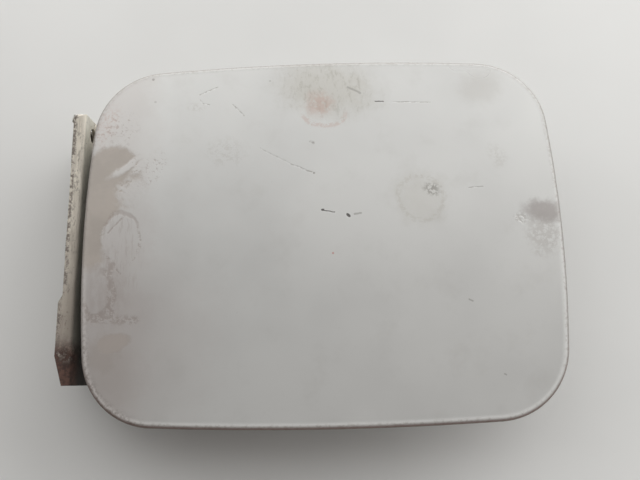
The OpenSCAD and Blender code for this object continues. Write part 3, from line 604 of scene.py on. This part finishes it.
def arm_paint():
    """Scuffed cream overspray on the hinge arm, chipped along the flange, rusty at the near end, with painted
    light high on the wall, painted shade low on it and a lighter line along the flange's edge that is partly a
    painted highlight.
    """
    n = Net("arm_paint")
    x, y, z = n.split(n.pos)
    broad = n.noise(16, 4, 0.6, seed=41)
    ragged = n.noise(3.2, 6, 0.7, seed=47)
    crisp = n.noise(1.1, 5, 0.72, seed=52)
    fine = n.noise(0.45, 3, 0.6, seed=55)
    drawn = n.noise(1.3, 4, 0.6, n.vec("MULTIPLY", n.pos, (1, 0.1, 1)), 58)
    color = n.mix(n.fade(broad, 0.35, 0.7), (0.74, 0.69, 0.60), (0.60, 0.555, 0.475))
    color = n.stain(color, n.fade(drawn, 0.48, 0.60), 0.40, (0.33, 0.29, 0.25))
    color = n.stain(color, n.fade(n.jitter(y, broad, 26.0), 30, -50), 0.72, (0.23, 0.19, 0.165))
    # Painted light: the wall's upper part, kept from the lamps by the door's edge, lifted to a light greenish
    # grey
    painted_light_wall = n.times(n.fade(z, 27.2, 26.2), n.fade(z, 15, 20))
    color = n.stain(color, painted_light_wall, 0.45, (0.56, 0.57, 0.51))

    # Chips along the flange's free edge, which steps out near the near end
    from_edge = n.math("SUBTRACT", x, n.fade(y, -20, -22, -9.3, -11.0))
    off = n.jitter(from_edge, ragged, 6.0)
    mottled = n.fade(n.noise(1.8, 5, 0.75, n.vec("MULTIPLY", n.pos, (1, 0.45, 1)), 66), 0.55, 0.62)
    chipped = n.any(n.times(n.fade(off, 2.2, 1.4), n.fade(ragged, 0.46, 0.54)),
                    n.times(mottled, n.fade(off, 5.5, 3.0), 0.6))
    pitted = n.fade(n.noise(2.0, 5, 0.7, seed=62), 0.62, 0.68)
    color = n.stain(color, n.any(chipped, n.times(pitted, 0.8)), 0.82, (0.125, 0.10, 0.088))
    # Lighter line along the flange's free edge: partly light flaking paint, partly a painted highlight
    bright = n.times(n.fade(from_edge, 0.35, 0.05), n.fade(crisp, 0.50, 0.44))
    color = n.stain(color, bright, 0.4, (0.72, 0.70, 0.65))

    near = n.times(n.fade(n.jitter(y, ragged, 14.0), -38, -47), n.fade(ragged, 0.30, 0.46))
    rust = n.any(near, n.fade(y, -46, -51), n.times(n.fade(crisp, 0.62, 0.70), 0.7))
    rusty = n.mix(n.fade(ragged, 0.40, 0.62), (0.036, 0.014, 0.010), (0.120, 0.055, 0.040))
    color = n.stain(color, rust, 0.92, rusty)
    # Painted shade: the wall's lower part, in the gap under the door's edge, painted near black
    low = n.times(n.fade(z, 25.5, 17), n.fade(y, 54, 38))
    color = n.stain(color, low, 0.85, (0.06, 0.06, 0.056))

    rough = n.blend(n.fade(broad, 0.3, 0.7), 0.42, 0.58)
    rough = n.math("MAXIMUM", rough, n.times(n.any(rust, chipped), 0.78))
    high = n.math("ADD", fine, n.times(drawn, 0.8))
    high = n.math("SUBTRACT", high, n.times(n.any(chipped, n.times(rust, 0.8)), 1.4))
    return n.finish(color, rough, n.bump(high, 0.3, 0.0002), 0.0)


def plastic(name, base, other, rough, seed, specular=0.5, size=0.4, bump=0.15):
    """Nylon, rubber or mastic: two close colours in clouds and a fine uneven surface."""
    n = Net(name)
    cloud = n.noise(5, 4, 0.6, seed=seed)
    fine = n.noise(size, 3, 0.6, seed=seed + 3)
    color = n.mix(n.fade(cloud, 0.3, 0.75), base, other)
    r = n.blend(fine, rough[0], rough[1])
    return n.finish(color, r, n.bump(fine, bump, 0.0001), 0.0, Specular_IOR_Level=specular)


MATERIALS = {
    "outer_skin": DoorPaint().build(),
    "hinge_arm": arm_paint(),
    "inner_panel": aged("inner_paint", (0.46, 0.46, 0.445), (0.27, 0.25, 0.22), (0.45, 0.6), 0, 0.03, 60),
    "body_bracket": aged("bracket_paint", (0.40, 0.38, 0.345), (0.20, 0.18, 0.155), (0.45, 0.65), 0, 0.1, 70),
    "plain_steel": aged("plain_steel", (0.42, 0.41, 0.39), (0.20, 0.185, 0.165), (0.32, 0.5), 0.85, 0.08, 80),
    "spring_steel": aged("spring_steel", (0.13, 0.125, 0.12), (0.06, 0.055, 0.05), (0.35, 0.5), 0.8, 0.05, 90),
    "zinc": aged("zinc", (0.50, 0.47, 0.36), (0.26, 0.24, 0.18), (0.34, 0.52), 0.8, 0.06, 100),
    "rivet": aged("rivet", (0.55, 0.55, 0.54), (0.28, 0.27, 0.25), (0.36, 0.5), 0.9, 0.0, 110),
    "nylon": plastic("nylon", (0.62, 0.58, 0.47), (0.44, 0.40, 0.31), (0.42, 0.52), 120),
    "rubber": plastic("rubber", (0.022, 0.022, 0.023), (0.04, 0.038, 0.036), (0.7, 0.85), 130, 0.35, 0.7),
    "mastic": plastic("mastic", (0.035, 0.035, 0.037), (0.055, 0.053, 0.05), (0.6, 0.75), 140, 0.4, 1.2, 0.5),
}

# The material of each CAD node that stays, and the width in millimetres of its broken edges
USES = {
    "inner_panel": ("inner_panel", None), "hinge_arm": ("hinge_arm", 0.25),
    "body_bracket": ("body_bracket", 0.3), "flutter_mastic": ("mastic", None),
    "weld_nuts": ("plain_steel", 0.3), "arm_bolts": ("zinc", 0.2), "bush_far": ("nylon", 0.1),
    "bush_near": ("nylon", 0.1), "thrust_washer": ("plain_steel", 0.1), "hinge_pin": ("plain_steel", 0.25),
    "pin_clip": ("spring_steel", 0.1), "striker": ("zinc", 0.25), "striker_rivets": ("rivet", 0.2),
    "bumper_far": ("rubber", None), "bumper_near": ("rubber", None),
}


def dress(obj, material):
    obj.data.materials.clear()
    obj.data.materials.append(material)


def soften(obj, width):
    """Welds the imported facets, shades them smooth between sharp edges and breaks the edges."""
    for p in obj.data.polygons:
        p.use_smooth = True
    weld = obj.modifiers.new("weld", "WELD")
    weld.merge_threshold = WELD_GAP
    bevel = obj.modifiers.new("bevel", "BEVEL")
    bevel.width = width * MM
    bevel.segments = 2
    bevel.limit_method = "ANGLE"
    bevel.angle_limit = math.radians(SHARP_ANGLE)
    bevel.harden_normals = True


for node, (key, width) in USES.items():
    dress(NODES[node], MATERIALS[key])
    if width is not None:
        soften(NODES[node], width)

skin = door_skin()
dress(skin, MATERIALS["outer_skin"])
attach(skin, "door")
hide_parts("outer_skin")

spring = spring_wire()
dress(spring, MATERIALS["spring_steel"])
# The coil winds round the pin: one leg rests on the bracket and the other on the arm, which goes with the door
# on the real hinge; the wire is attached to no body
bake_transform(spring)
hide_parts("torsion_spring")


# ---------------------------------------------------------------- stage, light and camera

# Ramps of the world: from, to, value at from, value at to. The last one goes from the warm tint to the plain one
WORLD_WINDOW = (-0.12, 0.55, 0.10, 1.2)
WORLD_OVERHEAD = (0.10, 0.42, 0.18, 1.0)
WORLD_TINT = (-0.4, 0.4, 0, 1)
OVERHEAD_DIRECTION = (-0.26, 0.06, 0.96)
WARM_TINT = (1.0, 0.86, 0.78, 1)
PLAIN_TINT = (1.0, 1.0, 0.985, 1)
LAMP_COLOR = (1.0, 1.0, 0.99)
LAMP_AIM = (0.09, 0.0, 0.02)

# The camera, fitted to the door's outline in the photograph: place in millimetres and directions
CAMERA_PLACE = (104.23, -59.71, 290.54)
CAMERA_AHEAD = (-0.0211, 0.217, -0.976)
CAMERA_UP = (0.0258, 0.976, 0.2164)
CAMERA_LENS = 36
SENSOR_WIDTH = 36
CLIP_START = 0.01

# A pale table: half its size and its height in metres
FLOOR_HALF = 2.4
FLOOR_Z = -0.0001


def floor():
    mesh = bpy.data.meshes.new("floor")
    corners = ((-1, -1), (1, -1), (1, 1), (-1, 1))
    mesh.from_pydata([(FLOOR_HALF * x, FLOOR_HALF * y, FLOOR_Z) for x, y in corners], [], [(0, 1, 2, 3)])
    obj = bpy.data.objects.new("floor", mesh)
    bpy.context.scene.collection.objects.link(obj)
    n = Net("floor")
    cloud = n.noise(90, 3, 0.5, seed=150)
    color = n.mix(n.fade(cloud, 0.3, 0.7), (0.70, 0.70, 0.69), (0.73, 0.73, 0.72))
    grain = n.bump(n.noise(0.6, 2, 0.5), 0.03, 0.0001)
    obj.data.materials.append(n.finish(color, n.blend(cloud, 0.5, 0.56), grain, 0.0))


def lamp(name, place, width, height, power):
    """Rectangular lamp aimed at the door; metres and watts."""
    light = bpy.data.lights.new(name, "AREA")
    light.shape = "RECTANGLE"
    light.size = width
    light.size_y = height
    light.energy = power
    light.color = LAMP_COLOR
    obj = bpy.data.objects.new(name, light)
    obj.location = place
    aim = Vector(LAMP_AIM) - Vector(place)
    obj.rotation_euler = aim.to_track_quat("-Z", "Y").to_euler()
    bpy.context.scene.collection.objects.link(obj)


def world():
    """Plain surroundings: bright towards +Y like the photograph's window, dim overhead, warmer towards -Y."""
    w = bpy.data.worlds.new("studio")
    bpy.context.scene.world = w
    w.use_nodes = True
    tree = w.node_tree

    def ramp(value, lo, hi, a, b):
        n = tree.nodes.new("ShaderNodeMapRange")
        n.interpolation_type = "SMOOTHSTEP"
        for key, v in (("From Min", lo), ("From Max", hi), ("To Min", a), ("To Max", b)):
            n.inputs[key].default_value = v
        tree.links.new(value, n.inputs["Value"])
        return n.outputs[0]

    coords = tree.nodes.new("ShaderNodeTexCoord")
    split = tree.nodes.new("ShaderNodeSeparateXYZ")
    tree.links.new(coords.outputs["Generated"], split.inputs[0])
    window = ramp(split.outputs["Y"], *WORLD_WINDOW)
    gap = tree.nodes.new("ShaderNodeVectorMath")
    gap.operation = "DISTANCE"
    tree.links.new(coords.outputs["Generated"], gap.inputs[0])
    gap.inputs[1].default_value = OVERHEAD_DIRECTION
    overhead = ramp(gap.outputs["Value"], *WORLD_OVERHEAD)
    strength = tree.nodes.new("ShaderNodeMath")
    strength.operation = "MULTIPLY"
    tree.links.new(window, strength.inputs[0])
    tree.links.new(overhead, strength.inputs[1])
    tint = tree.nodes.new("ShaderNodeMix")
    tint.data_type = "RGBA"
    tree.links.new(ramp(split.outputs["Y"], *WORLD_TINT), tint.inputs[0])
    tint.inputs[6].default_value = WARM_TINT
    tint.inputs[7].default_value = PLAIN_TINT
    back = tree.nodes["Background"]
    tree.links.new(tint.outputs[2], back.inputs["Color"])
    tree.links.new(strength.outputs[0], back.inputs["Strength"])


def camera():
    cam = bpy.data.cameras.new("camera")
    cam.sensor_width = SENSOR_WIDTH
    cam.lens = CAMERA_LENS
    cam.clip_start = CLIP_START
    obj = bpy.data.objects.new("camera", cam)
    bpy.context.scene.collection.objects.link(obj)
    place = Vector(CAMERA_PLACE) * MM
    ahead = Vector(CAMERA_AHEAD).normalized()
    right = ahead.cross(Vector(CAMERA_UP)).normalized()
    up = right.cross(ahead)
    obj.matrix_world = Matrix.Translation(place) @ Matrix((right, up, -ahead)).transposed().to_4x4()
    bpy.context.scene.camera = obj


floor()
world()
lamp("key", (0.66, 0.46, 0.32), 1.1, 0.45, 4.6)
lamp("side", (-0.14, 0.50, 0.25), 0.7, 0.3, 1.3)
lamp("fill", (0.17, -0.25, 0.10), 0.36, 0.08, 0.12)
camera()
bpy.context.scene.view_settings.view_transform = "Standard"
